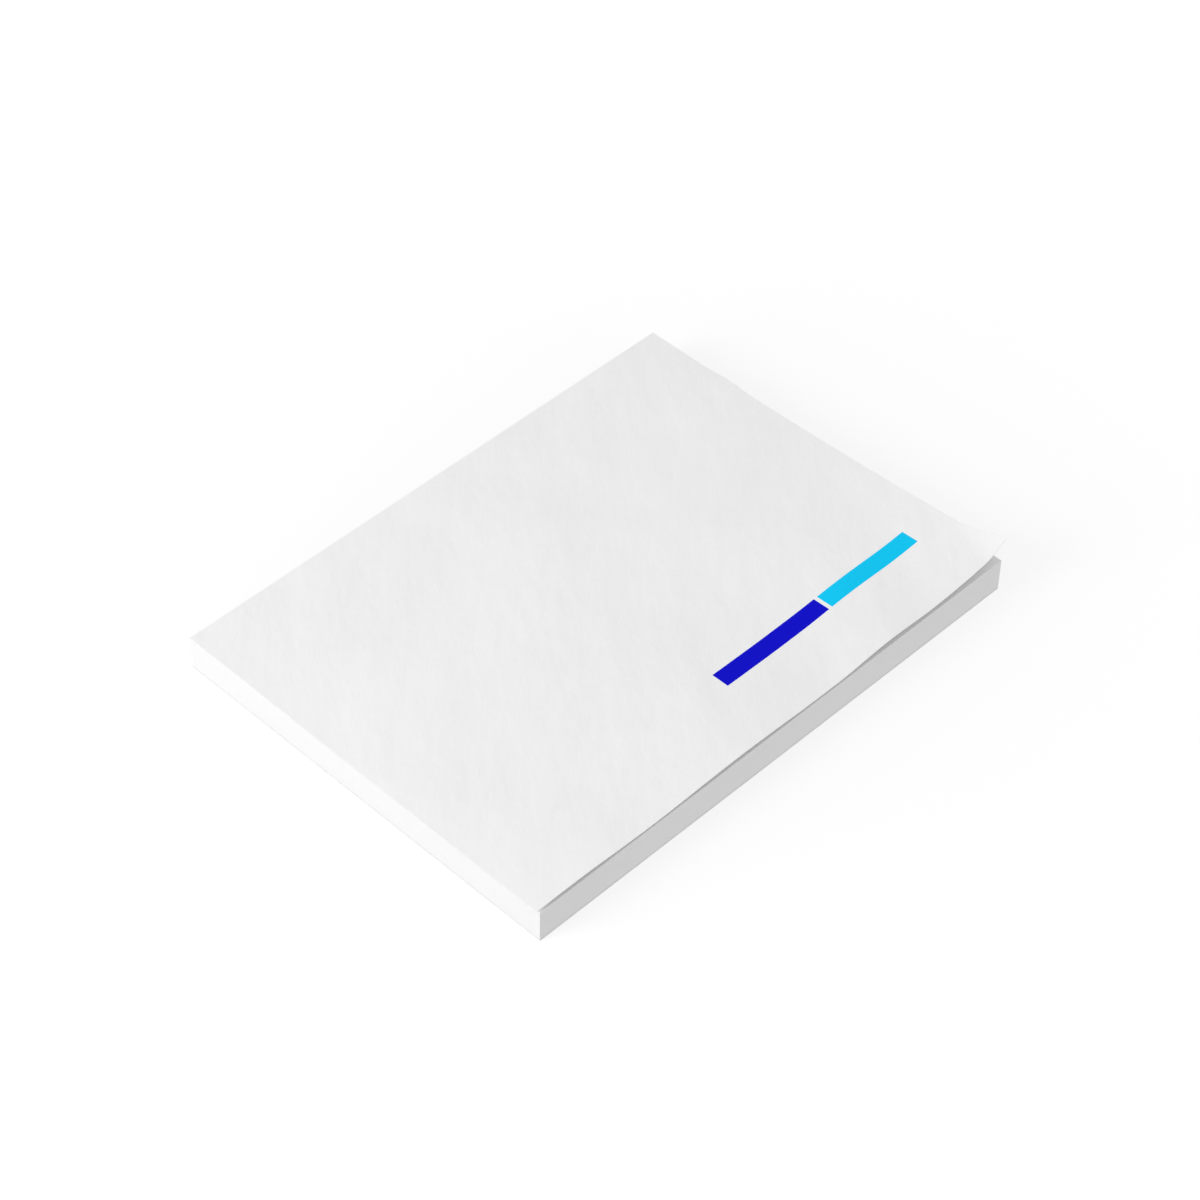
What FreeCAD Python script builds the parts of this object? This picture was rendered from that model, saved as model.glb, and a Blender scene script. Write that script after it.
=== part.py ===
"""Sticky note pad, 4 by 3 inches, lying on its back with its top note starting to curl.

The pad is a release liner, a block of notes pressed together, and one top note that is stuck
down along the back long edge only. Its free edge rises in slow waves, a ridge runs back from
it, its left end stands a little out past the block, and its right front corner flicks up. Two
fields of ink have soaked into its face near that corner.

Frame: the origin is the centre of the base, +X runs along the long edges in the reading
direction, +Y points at the glued edge, +Z is up. All sizes are in millimetres.
"""
import FreeCAD, Part
import math
import os

import Sketcher

# Driving dimensions: name, value, what it is
SIZES = [
    ("note_length", 101.6, "long side of every note"),
    ("note_width", 76.2, "short side of every note"),
    ("note_thickness", 0.12, "one note"),
    ("pressed_notes", 50, "notes that lie pressed together under the top one"),
    ("liner_thickness", 0.15, "release liner under the lowest note"),
    ("adhesive_thickness", 0.05, "coat of adhesive between two sheets"),
    ("adhesive_width", 12.0, "adhesive band along the glued long edge"),
    ("adhesive_inset", 0.8, "bare margin round the adhesive band"),
    ("trough_lift", 0.4, "lift of the free edge in the troughs of its waves"),
    ("crest_lift", 0.82, "lift of the free edge at their crests"),
    ("wave_length", 37.9, "from crest to crest along the free edge"),
    ("first_crest", 4.0, "first crest, from the left edge"),
    ("left_droop", 0.12, "how much less the left end of the free edge lifts"),
    ("left_lean", 0.5, "how far that end stands out past the block"),
    ("left_reach", 12.0, "how far its droop and lean reach in from the left edge"),
    ("ridge_lift", 0.48, "lift of the ridge that runs back from the free edge"),
    ("ridge_place", 74.5, "where the ridge starts, from the left edge"),
    ("ridge_width", 11.8, "from the ridge's crest to its foot"),
    ("ridge_reach", 64.0, "how far back the ridge runs"),
    ("ridge_turn", 22.0, "turn of the ridge towards the right edge, in degrees"),
    ("curl_lift", 2.4, "lift of the right front corner by its broad curl"),
    ("curl_reach", 23.0, "how far the broad curl reaches along the free edge"),
    ("flick_lift", 1.25, "further lift of the corner's tip"),
    ("flick_front", 4.2, "reach of the flicked tip along the free edge"),
    ("flick_side", 10.0, "reach of the flicked tip along the right edge"),
    ("flick_lean", 1.1, "how far the tip leans out past the block"),
    ("flick_back", 0.3, "how far the tip is drawn back from the free edge"),
    ("bulge_lift", 0.4, "small bulge of the right edge just in front of the adhesive"),
    ("bulge_length", 11.0, "length of that bulge along the right edge"),
    ("bulge_depth", 25.0, "how far the bulge reaches in from the right edge"),
    ("ink_depth", 0.03, "how deep the ink has soaked in"),
    ("print_height", 3.2, "height of the printed fields"),
    ("print_front_gap", 11.3, "from the free edge to the print"),
    ("print_right_gap", 7.2, "from the right edge to the print"),
    ("dark_field_length", 22.8, "printed field on the left"),
    ("light_field_length", 20.0, "printed field on the right"),
    ("field_gap", 0.7, "bare paper between the two fields"),
]

# The knots of the curled surface lie closest at its rims, where the form bends most
SPANS_ALONG = 30
SPANS_ACROSS = 18
CUBIC = 3

# How suddenly the corner's tip rises: the power of its distance past the start of the flick
TIP_POWER = 1.8

doc = FreeCAD.newDocument("sticky_note_pad")


def make_sheet():
    """The spreadsheet of driving dimensions, one row for each."""
    table = doc.addObject("Spreadsheet::Sheet", "sizes")
    for row, (alias, value, meaning) in enumerate(SIZES, start=1):
        table.set(f"A{row}", alias)
        table.set(f"B{row}", str(value))
        table.set(f"C{row}", meaning)
        table.setAlias(f"B{row}", alias)
    doc.recompute()
    return table


sheet = make_sheet()


def size(alias):
    """A driving dimension, read back from the spreadsheet."""
    return float(sheet.get(alias))


# Heights of the layers above the base, as expressions over the spreadsheet
LINER_TOP = "sizes.liner_thickness"
BLOCK_BOTTOM = f"({LINER_TOP} + sizes.adhesive_thickness)"
BLOCK_HEIGHT = "sizes.pressed_notes * sizes.note_thickness"
BLOCK_TOP = f"({BLOCK_BOTTOM} + {BLOCK_HEIGHT})"

# The adhesive band stays its bare margin away from the glued edge and from both ends
BAND_LENGTH = "sizes.note_length - 2 * sizes.adhesive_inset"
BAND_WIDTH = "sizes.adhesive_width - sizes.adhesive_inset"
BAND_CENTRE = "(sizes.note_width - sizes.adhesive_width - sizes.adhesive_inset) / 2"


def origin_plane(body, role):
    return next(item for item in body.Origin.OriginFeatures if item.Role == role)


def draw_rectangle(sketch, length, width):
    """A fully constrained rectangle round the sketch's origin."""
    half_l = 10.0
    half_w = 5.0
    corners = [(-half_l, -half_w), (half_l, -half_w), (half_l, half_w), (-half_l, half_w)]
    points = [FreeCAD.Vector(x, y, 0) for x, y in corners]
    for start, end in zip(points, points[1:] + points[:1]):
        sketch.addGeometry(Part.LineSegment(start, end), False)
    for line in range(4):
        sketch.addConstraint(Sketcher.Constraint("Coincident", line, 2, (line + 1) % 4, 1))
    for line in (0, 2):
        sketch.addConstraint(Sketcher.Constraint("Horizontal", line))
    for line in (1, 3):
        sketch.addConstraint(Sketcher.Constraint("Vertical", line))
    sketch.addConstraint(Sketcher.Constraint("Symmetric", 0, 1, 1, 2, -1, 1))
    for name, kind, line, value in (
        ("length", "DistanceX", 0, 2 * half_l),
        ("width", "DistanceY", 1, 2 * half_w),
    ):
        index = sketch.addConstraint(Sketcher.Constraint(kind, line, 1, line, 2, value))
        sketch.renameConstraint(index, name)
    sketch.setExpression("Constraints.length", length)
    sketch.setExpression("Constraints.width", width)


def flat_layer(label, length, width, thickness, height, across="0"):
    """One flat layer of the pad: a rectangle padded upwards from its height above the base."""
    body = doc.addObject("PartDesign::Body", label)
    body.Label = label
    outline = body.newObject("Sketcher::SketchObject", f"{label}_outline")
    outline.AttachmentSupport = [(origin_plane(body, "XY_Plane"), "")]
    outline.MapMode = "FlatFace"
    draw_rectangle(outline, length, width)
    layer = body.newObject("PartDesign::Pad", f"{label}_pad")
    layer.Profile = outline
    layer.setExpression("Length", thickness)
    body.Tip = layer
    body.setExpression("Placement.Base.y", across)
    body.setExpression("Placement.Base.z", height)
    return body


def curled_point(along, front):
    """Where a point of the flat top note goes, for its distances from the left and free edges.

    The result is counted from the block's left front corner, with the lift as its height.
    """
    free_width = size("note_width") - size("adhesive_width")
    from_right = size("note_length") - along
    freedom = 1 - front / free_width

    turn = 2 * math.pi * (along - size("first_crest")) / size("wave_length")
    rise = (1 + math.cos(turn)) / 2
    edge_lift = size("trough_lift") + (size("crest_lift") - size("trough_lift")) * rise
    near_left = max(1 - along / size("left_reach"), 0) ** 2
    edge_lift -= size("left_droop") * near_left
    waves = edge_lift * freedom**2

    crest = size("ridge_place") + front * math.tan(math.radians(size("ridge_turn")))
    beside_crest = min(abs(along - crest) / size("ridge_width"), 1)
    ridge = size("ridge_lift") * math.cos(math.pi / 2 * beside_crest) ** 2
    ridge *= max(1 - front / size("ridge_reach"), 0) ** 2

    curl = size("curl_lift") * (max(1 - from_right / size("curl_reach"), 0) * freedom) ** 2

    past_start = max(1 - from_right / size("flick_front") - front / size("flick_side"), 0)
    tip = past_start**TIP_POWER

    beside_band = (free_width - front) / size("bulge_length")
    hump = math.sin(math.pi * beside_band) ** 2 if beside_band < 1 else 0.0
    bulge = size("bulge_lift") * hump * max(1 - from_right / size("bulge_depth"), 0) ** 2

    lift = waves + ridge + curl + bulge + size("flick_lift") * tip
    moved_along = along + size("flick_lean") * tip - size("left_lean") * near_left * freedom
    moved_front = front + size("flick_back") * tip
    return FreeCAD.Vector(moved_along, moved_front, lift)


def pole_places(knots):
    """Where the poles of a clamped cubic go, so that it gives back a straight line exactly."""
    padded = [knots[0]] * CUBIC + knots + [knots[-1]] * CUBIC
    return [
        sum(padded[first + 1 : first + 1 + CUBIC]) / CUBIC for first in range(len(knots) + CUBIC - 1)
    ]


def curled_surface():
    """The free part of the top note as one surface, from the free edge to the adhesive band.

    Its poles lie on the curled form and it stays within them, so it never dips into the block.
    """
    length = size("note_length")
    free_width = size("note_width") - size("adhesive_width")
    half_turn = math.pi / SPANS_ALONG
    along = [length * (1 - math.cos(half_turn * k)) / 2 for k in range(SPANS_ALONG + 1)]
    quarter_turn = math.pi / 2 / SPANS_ACROSS
    fronts = [free_width * (1 - math.cos(quarter_turn * k)) for k in range(SPANS_ACROSS + 1)]
    poles = [[curled_point(x, y) for y in pole_places(fronts)] for x in pole_places(along)]
    clamp = CUBIC + 1
    surface = Part.BSplineSurface()
    surface.buildFromPolesMultsKnots(
        poles,
        [clamp] + [1] * (SPANS_ALONG - 1) + [clamp],
        [clamp] + [1] * (SPANS_ACROSS - 1) + [clamp],
        along,
        fronts,
        False,
        False,
        CUBIC,
        CUBIC,
    )
    return surface.toShape()


def sheet_of(thickness):
    """A sheet with the top note's form: its flat glued band and its curled free part."""
    length = size("note_length")
    band = size("adhesive_width")
    free_width = size("note_width") - band
    flat = Part.makeBox(length, band, thickness, FreeCAD.Vector(0, free_width, 0))
    curled = curled_surface().extrude(FreeCAD.Vector(0, 0, thickness))
    whole = flat.fuse(curled).removeSplitter()
    return whole.Solids[0] if len(whole.Solids) == 1 else whole


def ink_in_note(left, length):
    """A field of ink: the upper skin of the top note's sheet, inside a rectangle of its plan."""
    names = ("crest", "ridge", "curl", "flick", "bulge")
    column = Part.makeBox(
        length,
        size("print_height"),
        sum(size(f"{name}_lift") for name in names) + size("note_thickness"),
        FreeCAD.Vector(left, size("print_front_gap"), 0),
    )
    skin = sheet_of(size("ink_depth"))
    skin.translate(FreeCAD.Vector(0, 0, size("note_thickness") - size("ink_depth")))
    return skin.common(column)


def curled_piece(label, shape):
    """A piece of the top note, placed with the note's own corner over the block's left front one."""
    feature = doc.addObject("Part::Feature", label)
    feature.Label = label
    feature.Shape = shape
    feature.setExpression("Placement.Base.x", "-sizes.note_length / 2")
    feature.setExpression("Placement.Base.y", "-sizes.note_width / 2")
    feature.setExpression("Placement.Base.z", f"{BLOCK_TOP} + sizes.adhesive_thickness")
    return feature


# Layers from the base up
backing_liner = flat_layer(
    "backing_liner", "sizes.note_length", "sizes.note_width", LINER_TOP, "0"
)
liner_adhesive = flat_layer(
    "liner_adhesive", BAND_LENGTH, BAND_WIDTH, "sizes.adhesive_thickness", LINER_TOP, BAND_CENTRE
)
note_block = flat_layer(
    "note_block", "sizes.note_length", "sizes.note_width", BLOCK_HEIGHT, BLOCK_BOTTOM
)
top_adhesive = flat_layer(
    "top_adhesive", BAND_LENGTH, BAND_WIDTH, "sizes.adhesive_thickness", BLOCK_TOP, BAND_CENTRE
)

# The printed fields end at their gap from the right edge, the light one last
light_left = size("note_length") - size("print_right_gap") - size("light_field_length")
dark_left = light_left - size("field_gap") - size("dark_field_length")
dark_ink = ink_in_note(dark_left, size("dark_field_length"))
light_ink = ink_in_note(light_left, size("light_field_length"))

# The top note is bare paper around and under its ink
top_note = curled_piece("top_note", sheet_of(size("note_thickness")).cut([dark_ink, light_ink]))
print_field_dark = curled_piece("print_field_dark", dark_ink)
print_field_light = curled_piece("print_field_light", light_ink)

pieces = [
    backing_liner,
    liner_adhesive,
    note_block,
    top_adhesive,
    top_note,
    print_field_dark,
    print_field_light,
]

doc.recompute()
for item in doc.Objects:
    if {"Invalid", "Error"} & set(item.State):
        raise RuntimeError(f"{item.Label} failed: {item.State}")
for piece in pieces:
    if piece.Shape.isNull() or not piece.Shape.isValid() or len(piece.Shape.Solids) != 1:
        raise RuntimeError(f"{piece.Label} has no sound solid")

os.makedirs("parts", exist_ok=True)
for piece in pieces:
    piece.Shape.exportStep(f"parts/{piece.Label}.step")
    box = piece.Shape.BoundBox
    print(
        f"{piece.Label}: x {box.XMin:.2f} to {box.XMax:.2f}, y {box.YMin:.2f} to {box.YMax:.2f}, "
        f"z {box.ZMin:.2f} to {box.ZMax:.2f}, {piece.Shape.Volume:.2f} mm3"
    )
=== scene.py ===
"""Looks of the sticky note pad: its paper, the edges of its pressed sheets, the curled top note,
the ink on it, and the white studio it lies in. Lengths are in metres, or in millimetres times MM."""

import math

import bpy
import numpy as np
from mathutils import Matrix, Vector, noise


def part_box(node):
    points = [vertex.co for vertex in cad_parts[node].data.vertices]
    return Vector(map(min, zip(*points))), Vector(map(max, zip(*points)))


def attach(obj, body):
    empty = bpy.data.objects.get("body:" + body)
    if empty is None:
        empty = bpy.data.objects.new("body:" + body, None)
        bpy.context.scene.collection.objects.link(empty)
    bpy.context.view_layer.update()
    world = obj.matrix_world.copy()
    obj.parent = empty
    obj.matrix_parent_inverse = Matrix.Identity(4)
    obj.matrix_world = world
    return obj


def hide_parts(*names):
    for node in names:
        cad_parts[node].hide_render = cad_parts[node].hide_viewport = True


MM = 0.001

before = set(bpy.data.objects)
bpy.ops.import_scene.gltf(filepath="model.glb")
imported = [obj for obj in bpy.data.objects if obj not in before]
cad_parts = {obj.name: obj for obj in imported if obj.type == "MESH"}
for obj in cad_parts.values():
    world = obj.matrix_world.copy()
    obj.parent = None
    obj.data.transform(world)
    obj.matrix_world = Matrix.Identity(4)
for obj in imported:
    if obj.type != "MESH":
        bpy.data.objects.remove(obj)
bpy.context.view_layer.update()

# The pad's own sizes, read from the frame
BLOCK_LOW, BLOCK_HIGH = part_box("note_block")
NOTE_LENGTH = BLOCK_HIGH.x - BLOCK_LOW.x
NOTE_WIDTH = BLOCK_HIGH.y - BLOCK_LOW.y
NOTE_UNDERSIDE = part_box("top_note")[0].z
GLUED_BAND = BLOCK_HIGH.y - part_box("top_adhesive")[0].y
FREE_WIDTH = NOTE_WIDTH - GLUED_BAND

# Sheets
NOTE_THICKNESS = 0.12 * MM
PRESSED_NOTES = 50

# The curled form of the top note, as in the solid: waves of the free edge
TROUGH_LIFT = 0.4 * MM
CREST_LIFT = 0.82 * MM
WAVE_LENGTH = 37.9 * MM
FIRST_CREST = 4.0 * MM

# Left end of the free edge, which stands open and a little out past the block
LEFT_DROOP = 0.12 * MM
LEFT_LEAN = 0.5 * MM
LEFT_REACH = 12.0 * MM

# Ridge that runs back from the free edge
RIDGE_LIFT = 0.48 * MM
RIDGE_PLACE = 74.5 * MM
RIDGE_WIDTH = 11.8 * MM
RIDGE_REACH = 64.0 * MM
RIDGE_TURN = math.radians(22)

# Curl and flicked tip of the right front corner
CURL_LIFT = 2.4 * MM
CURL_REACH = 23.0 * MM
FLICK_LIFT = 1.25 * MM
FLICK_FRONT = 4.2 * MM
FLICK_SIDE = 10.0 * MM
FLICK_LEAN = 1.1 * MM
FLICK_BACK = 0.3 * MM
TIP_POWER = 1.8

# Bulge of the right edge just in front of the glued band
BULGE_LIFT = 0.4 * MM
BULGE_LENGTH = 11.0 * MM
BULGE_DEPTH = 25.0 * MM

# Light, counted so that a white surface under a world of strength 1 is white
WORLD_LIGHT = 0.655
KEY_LIGHT = 0.525
FILL_LIGHT = 0.14

# Tones as they are written, linear
PAPER_WHITE = 0.94
DEEP_BLUE = (0.004, 0.004, 0.635)
CYAN = (0.005, 0.635, 1.0)
LINER_WHITE = (0.93, 0.93, 0.92)
ADHESIVE_TONE = (0.86, 0.86, 0.82)


def smooth_step(share):
    share = min(max(share, 0.0), 1.0)
    return share * share * (3 - 2 * share)


def curled(along, front):
    """How far a point of the top note moves along, back and up from where it would lie flat,
    for its distances from the left and free edges."""
    from_right = NOTE_LENGTH - along
    freedom = max(1 - front / FREE_WIDTH, 0)

    rise = (1 + math.cos(2 * math.pi * (along - FIRST_CREST) / WAVE_LENGTH)) / 2
    edge_lift = TROUGH_LIFT + (CREST_LIFT - TROUGH_LIFT) * rise
    near_left = max(1 - along / LEFT_REACH, 0) ** 2
    edge_lift -= LEFT_DROOP * near_left
    waves = edge_lift * freedom**2

    crest = RIDGE_PLACE + front * math.tan(RIDGE_TURN)
    beside_crest = min(abs(along - crest) / RIDGE_WIDTH, 1)
    ridge = RIDGE_LIFT * math.cos(math.pi / 2 * beside_crest) ** 2
    ridge *= max(1 - front / RIDGE_REACH, 0) ** 2

    curl = CURL_LIFT * (max(1 - from_right / CURL_REACH, 0) * freedom) ** 2
    tip = max(1 - from_right / FLICK_FRONT - front / FLICK_SIDE, 0) ** TIP_POWER
    beside_band = min(max((FREE_WIDTH - front) / BULGE_LENGTH, 0), 1)
    bulge = BULGE_LIFT * math.sin(math.pi * beside_band) ** 2
    bulge *= max(1 - from_right / BULGE_DEPTH, 0) ** 2
    lift = waves + ridge + curl + bulge + FLICK_LIFT * tip
    lean = FLICK_LEAN * tip - LEFT_LEAN * near_left * freedom
    return lean, FLICK_BACK * tip, lift


# Cockle: the slight unevenness of the paper itself, as wave length and height of each layer
COCKLE = ((17 * MM, 0.05 * MM), (7 * MM, 0.02 * MM), (3 * MM, 0.006 * MM))
COCKLE_LAYER_STEP = 3.7

# Lift and distance from the right edge at which the cockle has its full height
COCKLE_FREE = 0.3 * MM
COCKLE_EDGE = 8 * MM


def cockle(along, front, lift):
    """Small uneven height of the free paper. It fades out where the note lies down and towards
    the right edge, so that the note stays above the block and inside the solid's box."""
    height = 0.0
    for layer, (length, swing) in enumerate(COCKLE):
        height += swing * noise.noise(Vector((along / length, front / length, COCKLE_LAYER_STEP * layer)))
    free = smooth_step(lift / COCKLE_FREE)
    return height * free * smooth_step((NOTE_LENGTH - along) / COCKLE_EDGE)


def note_point(along, front, above_underside):
    """A point of the curled note in the row frame, so far above its underside."""
    lean, back, lift = curled(along, front)
    return Vector(
        (
            BLOCK_LOW.x + along + lean,
            BLOCK_LOW.y + front + back,
            NOTE_UNDERSIDE + lift + cockle(along, front, lift) + above_underside,
        )
    )


CRISP_ANGLE = math.radians(40)


def new_object(name, points, faces, material):
    """A mesh with smooth faces, and crisp edges where two faces meet at a steep angle."""
    mesh = bpy.data.meshes.new(name)
    mesh.from_pydata(points, [], faces)
    mesh.materials.append(material)
    mesh.validate()
    mesh.update()
    mesh.shade_smooth()
    mesh.set_sharp_from_angle(angle=CRISP_ANGLE)
    made = bpy.data.objects.new(name, mesh)
    bpy.context.scene.collection.objects.link(made)
    return made


def thin_plate(name, alongs, fronts, low, high, material):
    """A plate that follows the curled note between two heights above its underside."""
    columns, rows = len(alongs), len(fronts)
    points = [note_point(a, f, high) for a in alongs for f in fronts]
    points += [note_point(a, f, low) for a in alongs for f in fronts]
    under = columns * rows

    def corner(column, row, layer=0):
        return layer * under + column * rows + row

    faces = []
    for c in range(columns - 1):
        for r in range(rows - 1):
            quad = (corner(c, r), corner(c + 1, r), corner(c + 1, r + 1), corner(c, r + 1))
            faces.append(quad)
            faces.append(tuple(under + index for index in reversed(quad)))
    rim = [(c, 0) for c in range(columns - 1)]
    rim += [(columns - 1, r) for r in range(rows - 1)]
    rim += [(c, rows - 1) for c in range(columns - 1, 0, -1)]
    rim += [(0, r) for r in range(rows - 1, 0, -1)]
    for (c0, r0), (c1, r1) in zip(rim, rim[1:] + rim[:1]):
        faces.append((corner(c0, r0, 1), corner(c1, r1, 1), corner(c1, r1), corner(c0, r0)))
    return new_object(name, points, faces, material)


# Sheet edges of the pressed block
SHEET_POINTS_LONG = 28
SHEET_POINTS_SHORT = 21
EDGE_SCATTER = 0.016 * MM
SCATTER_START = (0.37, 0.81)
SCATTER_STEP = 1.7
EDGE_WANDER = 0.008 * MM
WANDER_LENGTH = 20 * MM
WANDER_STEP = 2.3
GROOVE_DEPTH = 0.018 * MM
ROUNDING = 0.22


def unit_noise(x, y, z):
    """A smooth noise between 0 and 1, the same in each run."""
    return 0.5 + 0.5 * noise.noise(Vector((x, y, z)))


def outline(inset_of):
    """Points round the block's plan, each moved in by its own inset."""
    low, high = BLOCK_LOW, BLOCK_HIGH
    corners = [(low.x, low.y), (high.x, low.y), (high.x, high.y), (low.x, high.y)]
    centre = (low + high) / 2
    half = (high - low) / 2
    points = []
    for side in range(4):
        start, end = corners[side], corners[(side + 1) % 4]
        count = SHEET_POINTS_LONG if side % 2 == 0 else SHEET_POINTS_SHORT
        for step in range(count):
            share = step / count
            x = start[0] + (end[0] - start[0]) * share
            y = start[1] + (end[1] - start[1]) * share
            inset = inset_of(x, y)
            points.append(
                (
                    centre.x + (x - centre.x) * (1 - inset / half.x),
                    centre.y + (y - centre.y) * (1 - inset / half.y),
                )
            )
    return points


def sheet_stack(name, material):
    """The pressed block with the edge of every sheet: its own set-back, and a groove below it."""
    thickness = (BLOCK_HIGH.z - BLOCK_LOW.z) / PRESSED_NOTES
    rings = []
    for sheet in range(PRESSED_NOTES):
        set_back = EDGE_SCATTER * unit_noise(*SCATTER_START, SCATTER_STEP * sheet)

        def edge(x, y, sheet=sheet, set_back=set_back):
            wander = unit_noise(x / WANDER_LENGTH, y / WANDER_LENGTH, WANDER_STEP * sheet)
            return set_back + EDGE_WANDER * wander

        def groove(x, y, edge=edge):
            return edge(x, y) + GROOVE_DEPTH

        floor_z = BLOCK_LOW.z + sheet * thickness
        rings.append((floor_z, groove))
        rings.append((floor_z + ROUNDING * thickness, edge))
        rings.append((floor_z + (1 - ROUNDING) * thickness, edge))
    rings.append((BLOCK_HIGH.z, groove))
    points = [Vector((x, y, z)) for z, inset in rings for x, y in outline(inset)]
    count = len(points) // len(rings)
    faces = [tuple(reversed(range(count)))]
    for ring in range(len(rings) - 1):
        for step in range(count):
            after = (step + 1) % count
            low, high = ring * count, (ring + 1) * count
            faces.append((low + step, low + after, high + after, high + step))
    faces.append(tuple(range(len(points) - count, len(points))))
    return new_object(name, points, faces, material)


class Nodes:
    """A material's node tree, with short calls to add and join nodes."""

    def __init__(self, name):
        self.material = bpy.data.materials.new(name)
        self.material.use_nodes = True
        self.tree = self.material.node_tree
        self.tree.nodes.clear()
        self.output = self.add("ShaderNodeOutputMaterial")

    def add(self, kind, **settings):
        node = self.tree.nodes.new(kind)
        for key, value in settings.items():
            setattr(node, key, value)
        return node

    def join(self, source, target):
        self.tree.links.new(source, target)

    def place(self, stretch=(1, 1, 1), turn=0.0):
        """The row frame's own coordinates. Features are drawn out along the turned axes."""
        coordinates = self.add("ShaderNodeTexCoord")
        mapping = self.add("ShaderNodeMapping", vector_type="TEXTURE")
        mapping.inputs["Rotation"].default_value[2] = turn
        mapping.inputs["Scale"].default_value = stretch
        self.join(coordinates.outputs["Object"], mapping.inputs["Vector"])
        return mapping.outputs["Vector"]

    def noise(self, place, size, detail=3.0, roughness=0.5):
        """A noise with features of about that size, in metres."""
        texture = self.add("ShaderNodeTexNoise")
        texture.inputs["Scale"].default_value = 1 / size
        texture.inputs["Detail"].default_value = detail
        texture.inputs["Roughness"].default_value = roughness
        self.join(place, texture.inputs["Vector"])
        return texture.outputs["Fac"]

    def spread(self, value, low, high):
        """A 0 to 1 value brought to another range."""
        ranged = self.add("ShaderNodeMapRange")
        ranged.inputs["To Min"].default_value = low
        ranged.inputs["To Max"].default_value = high
        self.join(value, ranged.inputs["Value"])
        return ranged.outputs["Result"]

    def multiply(self, first, second):
        product = self.add("ShaderNodeMath", operation="MULTIPLY")
        self.join(first, product.inputs[0])
        self.join(second, product.inputs[1])
        return product.outputs["Value"]

    def tint(self, colour, strength):
        """A colour made lighter or darker by a factor near 1."""
        scaled = self.add("ShaderNodeVectorMath", operation="SCALE")
        scaled.inputs[0].default_value = colour
        self.join(strength, scaled.inputs["Scale"])
        return scaled.outputs["Vector"]

    def bump(self, height, distance, under=None):
        bumped = self.add("ShaderNodeBump")
        bumped.inputs["Distance"].default_value = distance
        self.join(height, bumped.inputs["Height"])
        if under is not None:
            self.join(under, bumped.inputs["Normal"])
        return bumped.outputs["Normal"]

    def surface(self, colour, normal, roughness, specular=0.25, coat=0.0):
        shader = self.add("ShaderNodeBsdfPrincipled")
        shader.inputs["Specular IOR Level"].default_value = specular
        shader.inputs["Coat Weight"].default_value = coat
        self.join(colour, shader.inputs["Base Color"])
        self.join(normal, shader.inputs["Normal"])
        self.join(roughness, shader.inputs["Roughness"])
        self.join(shader.outputs["BSDF"], self.output.inputs["Surface"])
        return self.material


# The paper's grain: its clouds and wrinkles are drawn out along a diagonal, its fibres along X
GRAIN_ANGLE = math.radians(45)
GRAIN_STRETCH = (2, 1, 1)
FIBRE_STRETCH = (3, 1, 1)

# Streaks of the guillotined edges, drawn out along the sheets
STREAK_STRETCH = (60, 60, 1)


def note_paper():
    """Uncoated white paper: faint clouds of its formation, short fibres and a dull surface."""
    nodes = Nodes("note_paper")
    place = nodes.place()
    drawn = nodes.place(GRAIN_STRETCH, GRAIN_ANGLE)
    clouds = nodes.noise(drawn, size=14 * MM, detail=6, roughness=0.6)
    flecks = nodes.noise(place, size=1.6 * MM, detail=4, roughness=0.7)
    wrinkles = nodes.noise(drawn, size=9 * MM, detail=7, roughness=0.5)
    pulp = nodes.noise(place, size=2.4 * MM, detail=5, roughness=0.6)
    fibres = nodes.noise(nodes.place(FIBRE_STRETCH), size=0.45 * MM, detail=4, roughness=0.65)
    shade = nodes.multiply(
        nodes.spread(clouds, low=0.95, high=1.045), nodes.spread(flecks, low=0.985, high=1.015)
    )
    relief = nodes.bump(wrinkles, distance=0.5 * MM)
    relief = nodes.bump(pulp, distance=0.01 * MM, under=relief)
    relief = nodes.bump(fibres, distance=0.006 * MM, under=relief)
    roughness = nodes.spread(fibres, low=0.82, high=0.95)
    return nodes.surface(nodes.tint((PAPER_WHITE,) * 3, shade), relief, roughness)


def cut_paper():
    """The guillotined edges of the sheets: the same paper with faint streaks along each sheet."""
    nodes = Nodes("cut_paper")
    streaks = nodes.noise(nodes.place(STREAK_STRETCH), size=0.2 * MM, detail=3, roughness=0.6)
    dust = nodes.noise(nodes.place(), size=0.3 * MM, detail=3, roughness=0.6)
    shade = nodes.multiply(
        nodes.spread(streaks, low=0.975, high=1.02), nodes.spread(dust, low=0.985, high=1.01)
    )
    relief = nodes.bump(dust, distance=0.01 * MM)
    roughness = nodes.spread(dust, low=0.85, high=0.97)
    return nodes.surface(nodes.tint((PAPER_WHITE,) * 3, shade), relief, roughness)


def ink(name, colour):
    """Ink that has soaked into the paper: the paper's fibres show through as faint flecks."""
    nodes = Nodes(name)
    place = nodes.place()
    cover = nodes.noise(place, size=0.5 * MM, detail=4, roughness=0.6)
    laid = nodes.noise(place, size=5 * MM, detail=2, roughness=0.5)
    fibres = nodes.noise(nodes.place(FIBRE_STRETCH), size=0.45 * MM, detail=4, roughness=0.65)
    shade = nodes.multiply(
        nodes.spread(cover, low=0.93, high=1.05), nodes.spread(laid, low=0.97, high=1.03)
    )
    relief = nodes.bump(fibres, distance=0.008 * MM)
    roughness = nodes.spread(fibres, low=0.6, high=0.8)
    return nodes.surface(nodes.tint(colour, shade), relief, roughness, specular=0.06)


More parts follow.
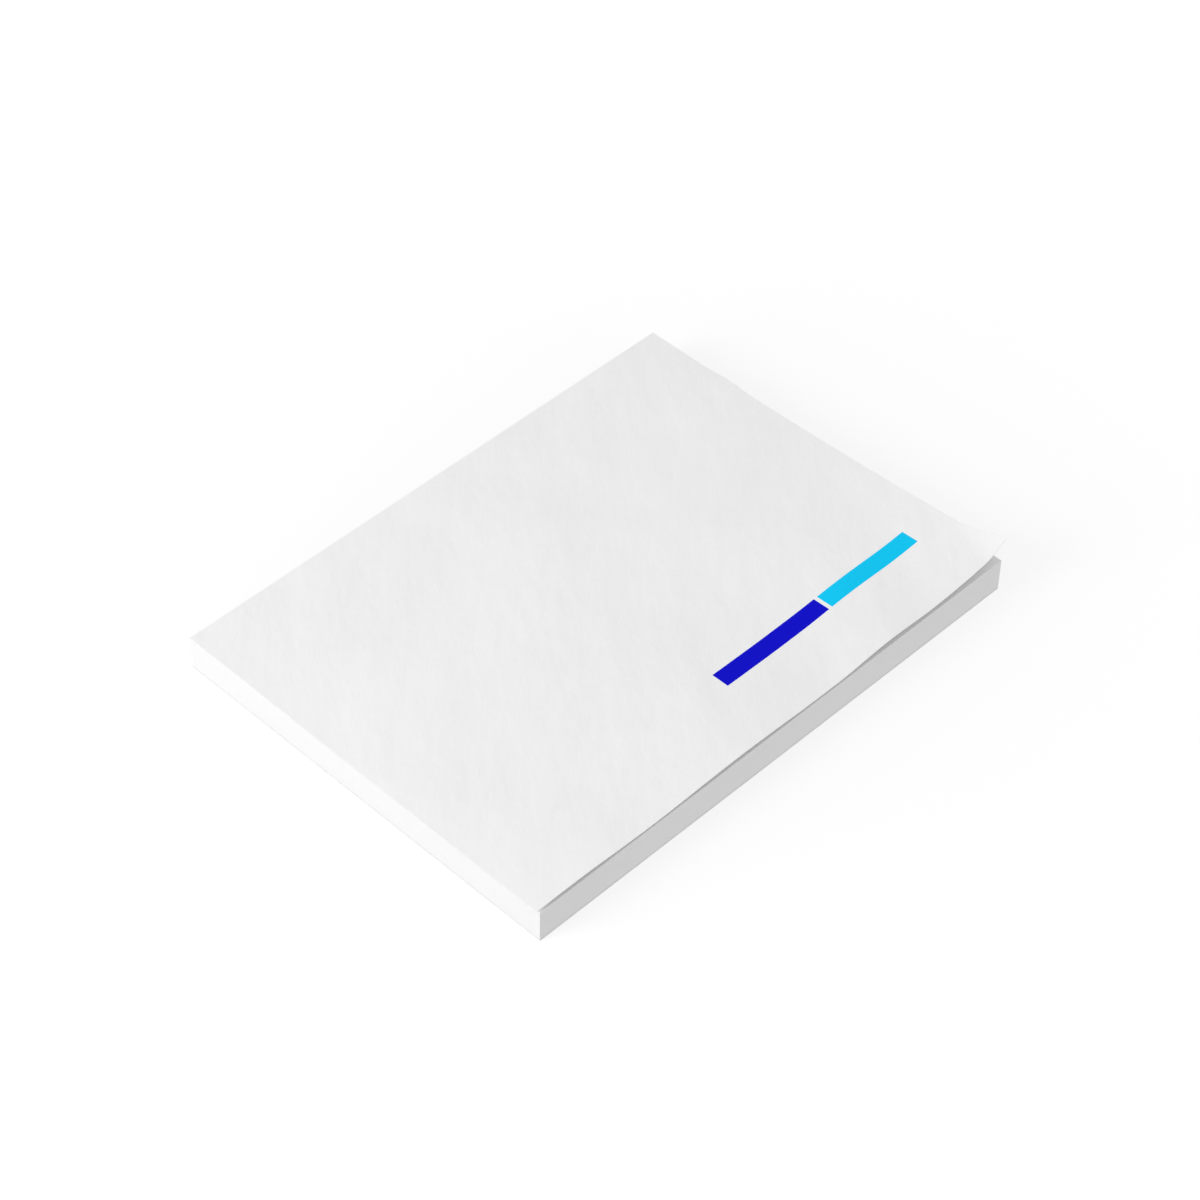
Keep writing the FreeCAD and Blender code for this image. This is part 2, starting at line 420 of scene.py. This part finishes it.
def release_paper():
    """The liner: denser paper with a smooth silicone coat."""
    nodes = Nodes("release_paper")
    place = nodes.place()
    clouds = nodes.noise(place, size=6 * MM, detail=4, roughness=0.6)
    grain = nodes.noise(place, size=0.6 * MM, detail=3, roughness=0.5)
    colour = nodes.tint(LINER_WHITE, nodes.spread(clouds, low=0.97, high=1.02))
    relief = nodes.bump(grain, distance=0.004 * MM)
    roughness = nodes.spread(grain, low=0.3, high=0.42)
    return nodes.surface(colour, relief, roughness, coat=0.3)


def tacky_coat():
    """The adhesive: a nearly clear, pebbled coat of tiny spheres."""
    nodes = Nodes("tacky_coat")
    place = nodes.place()
    beads = nodes.noise(place, size=0.12 * MM, detail=2, roughness=0.5)
    patches = nodes.noise(place, size=3 * MM, detail=3, roughness=0.6)
    colour = nodes.tint(ADHESIVE_TONE, nodes.spread(patches, low=0.96, high=1.03))
    relief = nodes.bump(beads, distance=0.02 * MM)
    roughness = nodes.spread(beads, low=0.3, high=0.5)
    return nodes.surface(colour, relief, roughness)


def stations(start, end, spacing):
    """Evenly spaced places from start to end, about that far apart."""
    return np.linspace(start, end, max(2, int(round((end - start) / spacing)) + 1))


NOTE_SPACING = 0.6 * MM
INK_SPACING = 0.3 * MM
INK_PROUD = 0.006 * MM


def make_note(paper):
    """The top note as a thin sheet with the curled form and the cockle of real paper."""
    alongs = stations(0, NOTE_LENGTH, NOTE_SPACING)
    fronts = stations(0, NOTE_WIDTH, NOTE_SPACING)
    note = thin_plate("top_note_sheet", alongs, fronts, 0, NOTE_THICKNESS, paper)
    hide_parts("top_note")
    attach(note, "root")


def make_print(node, slot, colour):
    """One printed field, on the paper above the ink's own solid."""
    low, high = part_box(node)
    alongs = stations(low.x - BLOCK_LOW.x, high.x - BLOCK_LOW.x, INK_SPACING)
    fronts = stations(low.y - BLOCK_LOW.y, high.y - BLOCK_LOW.y, INK_SPACING)
    top = NOTE_THICKNESS + INK_PROUD
    field = thin_plate(f"{node}_ink", alongs, fronts, NOTE_THICKNESS / 2, top, ink(slot, colour))
    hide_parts(node)
    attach(field, "root")


def make_block(paper):
    block = sheet_stack("note_block_sheets", paper)
    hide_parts("note_block")
    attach(block, "root")


def finish_node(node, material):
    """Gives a solid that stays as it is its own material."""
    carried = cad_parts[node]
    carried.data.materials.clear()
    carried.data.materials.append(material)


# The photographed view: its aim on the surface that the pad lies on, direction and distance
CAMERA_AIM = Vector((4.16, 4.25, 0)) * MM
CAMERA_AZIMUTH = math.radians(-45.935)
CAMERA_ELEVATION = math.radians(45.226)
CAMERA_ROLL = math.radians(0.952)
CAMERA_DISTANCE = 540.4 * MM
CAMERA_LENS = 103.09


def make_camera():
    data = bpy.data.cameras.new("camera")
    data.lens = CAMERA_LENS
    data.sensor_width = 36
    data.clip_start = 10 * MM
    data.clip_end = 100
    camera = bpy.data.objects.new("camera", data)
    bpy.context.scene.collection.objects.link(camera)
    turned = Matrix.Rotation(CAMERA_AZIMUTH, 4, "Z")
    tilted = Matrix.Rotation(math.pi / 2 - CAMERA_ELEVATION, 4, "X")
    rolled = Matrix.Rotation(CAMERA_ROLL, 4, "Z")
    back = Matrix.Translation((0, 0, CAMERA_DISTANCE))
    camera.matrix_world = Matrix.Translation(CAMERA_AIM) @ turned @ tilted @ back @ rolled
    bpy.context.scene.camera = camera


def make_lamp(name, light, azimuth, elevation, distance, width, height):
    """A soft oval lamp that faces the pad. Azimuth is counted from -X towards +Y, in degrees.
    The light is what a white surface that faces the lamp from the pad's place sends back."""
    data = bpy.data.lights.new(name, "AREA")
    data.shape = "ELLIPSE"
    data.size = width
    data.size_y = height
    data.energy = light * (math.pi * distance) ** 2
    lamp = bpy.data.objects.new(name, data)
    bpy.context.scene.collection.objects.link(lamp)
    a, e = math.radians(azimuth), math.radians(elevation)
    towards = Vector((-math.cos(a) * math.cos(e), math.sin(a) * math.cos(e), math.sin(e)))
    lamp.location = towards * distance
    lamp.rotation_mode = "QUATERNION"
    lamp.rotation_quaternion = towards.to_track_quat("Z", "Y")


def make_world():
    """Even light all round, which the camera and reflections see as white."""
    world = bpy.data.worlds.new("studio")
    bpy.context.scene.world = world
    world.use_nodes = True
    tree = world.node_tree
    tree.nodes.clear()
    path = tree.nodes.new("ShaderNodeLightPath")
    sees_white = path.outputs["Is Camera Ray"]
    for other in ("Is Glossy Ray", "Is Transmission Ray"):
        either = tree.nodes.new("ShaderNodeMath")
        either.operation = "MAXIMUM"
        tree.links.new(sees_white, either.inputs[0])
        tree.links.new(path.outputs[other], either.inputs[1])
        sees_white = either.outputs["Value"]
    level = tree.nodes.new("ShaderNodeMapRange")
    level.inputs["To Min"].default_value = WORLD_LIGHT
    level.inputs["To Max"].default_value = 1.0
    background = tree.nodes.new("ShaderNodeBackground")
    background.inputs["Color"].default_value = (1, 1, 1, 1)
    output = tree.nodes.new("ShaderNodeOutputWorld")
    tree.links.new(sees_white, level.inputs["Value"])
    tree.links.new(level.outputs["Result"], background.inputs["Strength"])
    tree.links.new(background.outputs["Background"], output.inputs["Surface"])


# The floor: the even light that it gives the pad, the lit share that the camera sees, and the
# strength of its white beside the pad and away from it: painted shade, dimmer beside the pad
# to deepen its shadow and brighter away from it in place of the lamps' fall-off
FLOOR_HALF = 20.0
LIGHT_FROM_FLOOR = 0.37
SHADOW_SHARE = 0.33
WHITE_NEAR = 1.017
WHITE_FAR = 1.20
WHITE_REACH = 300 * MM


def floor_material():
    """A white floor. It gives the pad even light from below. The camera sees most of it as plain
    white with painted shade, dimmer beside the pad and brighter away from it, and a share of it
    as lit, so that the soft shadow stays."""
    nodes = Nodes("studio_floor")
    light_given = nodes.add("ShaderNodeEmission")
    light_given.inputs["Strength"].default_value = LIGHT_FROM_FLOOR
    shadowed = nodes.add("ShaderNodeBsdfDiffuse")
    shadowed.inputs["Color"].default_value = (1, 1, 1, 1)
    white = nodes.add("ShaderNodeEmission")
    white.inputs["Color"].default_value = (1, 1, 1, 1)
    # Painted shade: the camera's white is dimmer near the pad, which deepens its shadow, and brighter
    # away from it.
    painted_shade_nearness = nodes.add("ShaderNodeTexGradient", gradient_type="SPHERICAL")
    nodes.join(nodes.place((WHITE_REACH,) * 3), painted_shade_nearness.inputs["Vector"])
    level = nodes.spread(painted_shade_nearness.outputs["Fac"], WHITE_FAR, WHITE_NEAR)
    nodes.join(level, white.inputs["Strength"])
    seen = nodes.add("ShaderNodeMixShader")
    seen.inputs["Fac"].default_value = SHADOW_SHARE
    nodes.join(white.outputs["Emission"], seen.inputs[1])
    nodes.join(shadowed.outputs["BSDF"], seen.inputs[2])
    path = nodes.add("ShaderNodeLightPath")
    chosen = nodes.add("ShaderNodeMixShader")
    nodes.join(path.outputs["Is Camera Ray"], chosen.inputs["Fac"])
    nodes.join(light_given.outputs["Emission"], chosen.inputs[1])
    nodes.join(seen.outputs["Shader"], chosen.inputs[2])
    nodes.join(chosen.outputs["Shader"], nodes.output.inputs["Surface"])
    return nodes.material


def make_floor():
    corners = [(-1, -1), (1, -1), (1, 1), (-1, 1)]
    points = [Vector((x * FLOOR_HALF, y * FLOOR_HALF, 0)) for x, y in corners]
    floor = new_object("floor", points, [(0, 1, 2, 3)], floor_material())


scene = bpy.context.scene
scene.view_settings.view_transform = "Standard"

make_camera()
make_world()
make_floor()
make_lamp(
    "key_light", KEY_LIGHT, azimuth=14, elevation=25, distance=0.62, width=0.34, height=0.47
)
make_lamp(
    "fill_light", FILL_LIGHT, azimuth=-93, elevation=17, distance=1.5, width=1.2, height=1.2
)

make_block(cut_paper())
make_note(note_paper())
make_print("print_field_dark", "dark_blue_ink", DEEP_BLUE)
make_print("print_field_light", "cyan_ink", CYAN)
finish_node("backing_liner", release_paper())
finish_node("liner_adhesive", tacky_coat())
finish_node("top_adhesive", tacky_coat())
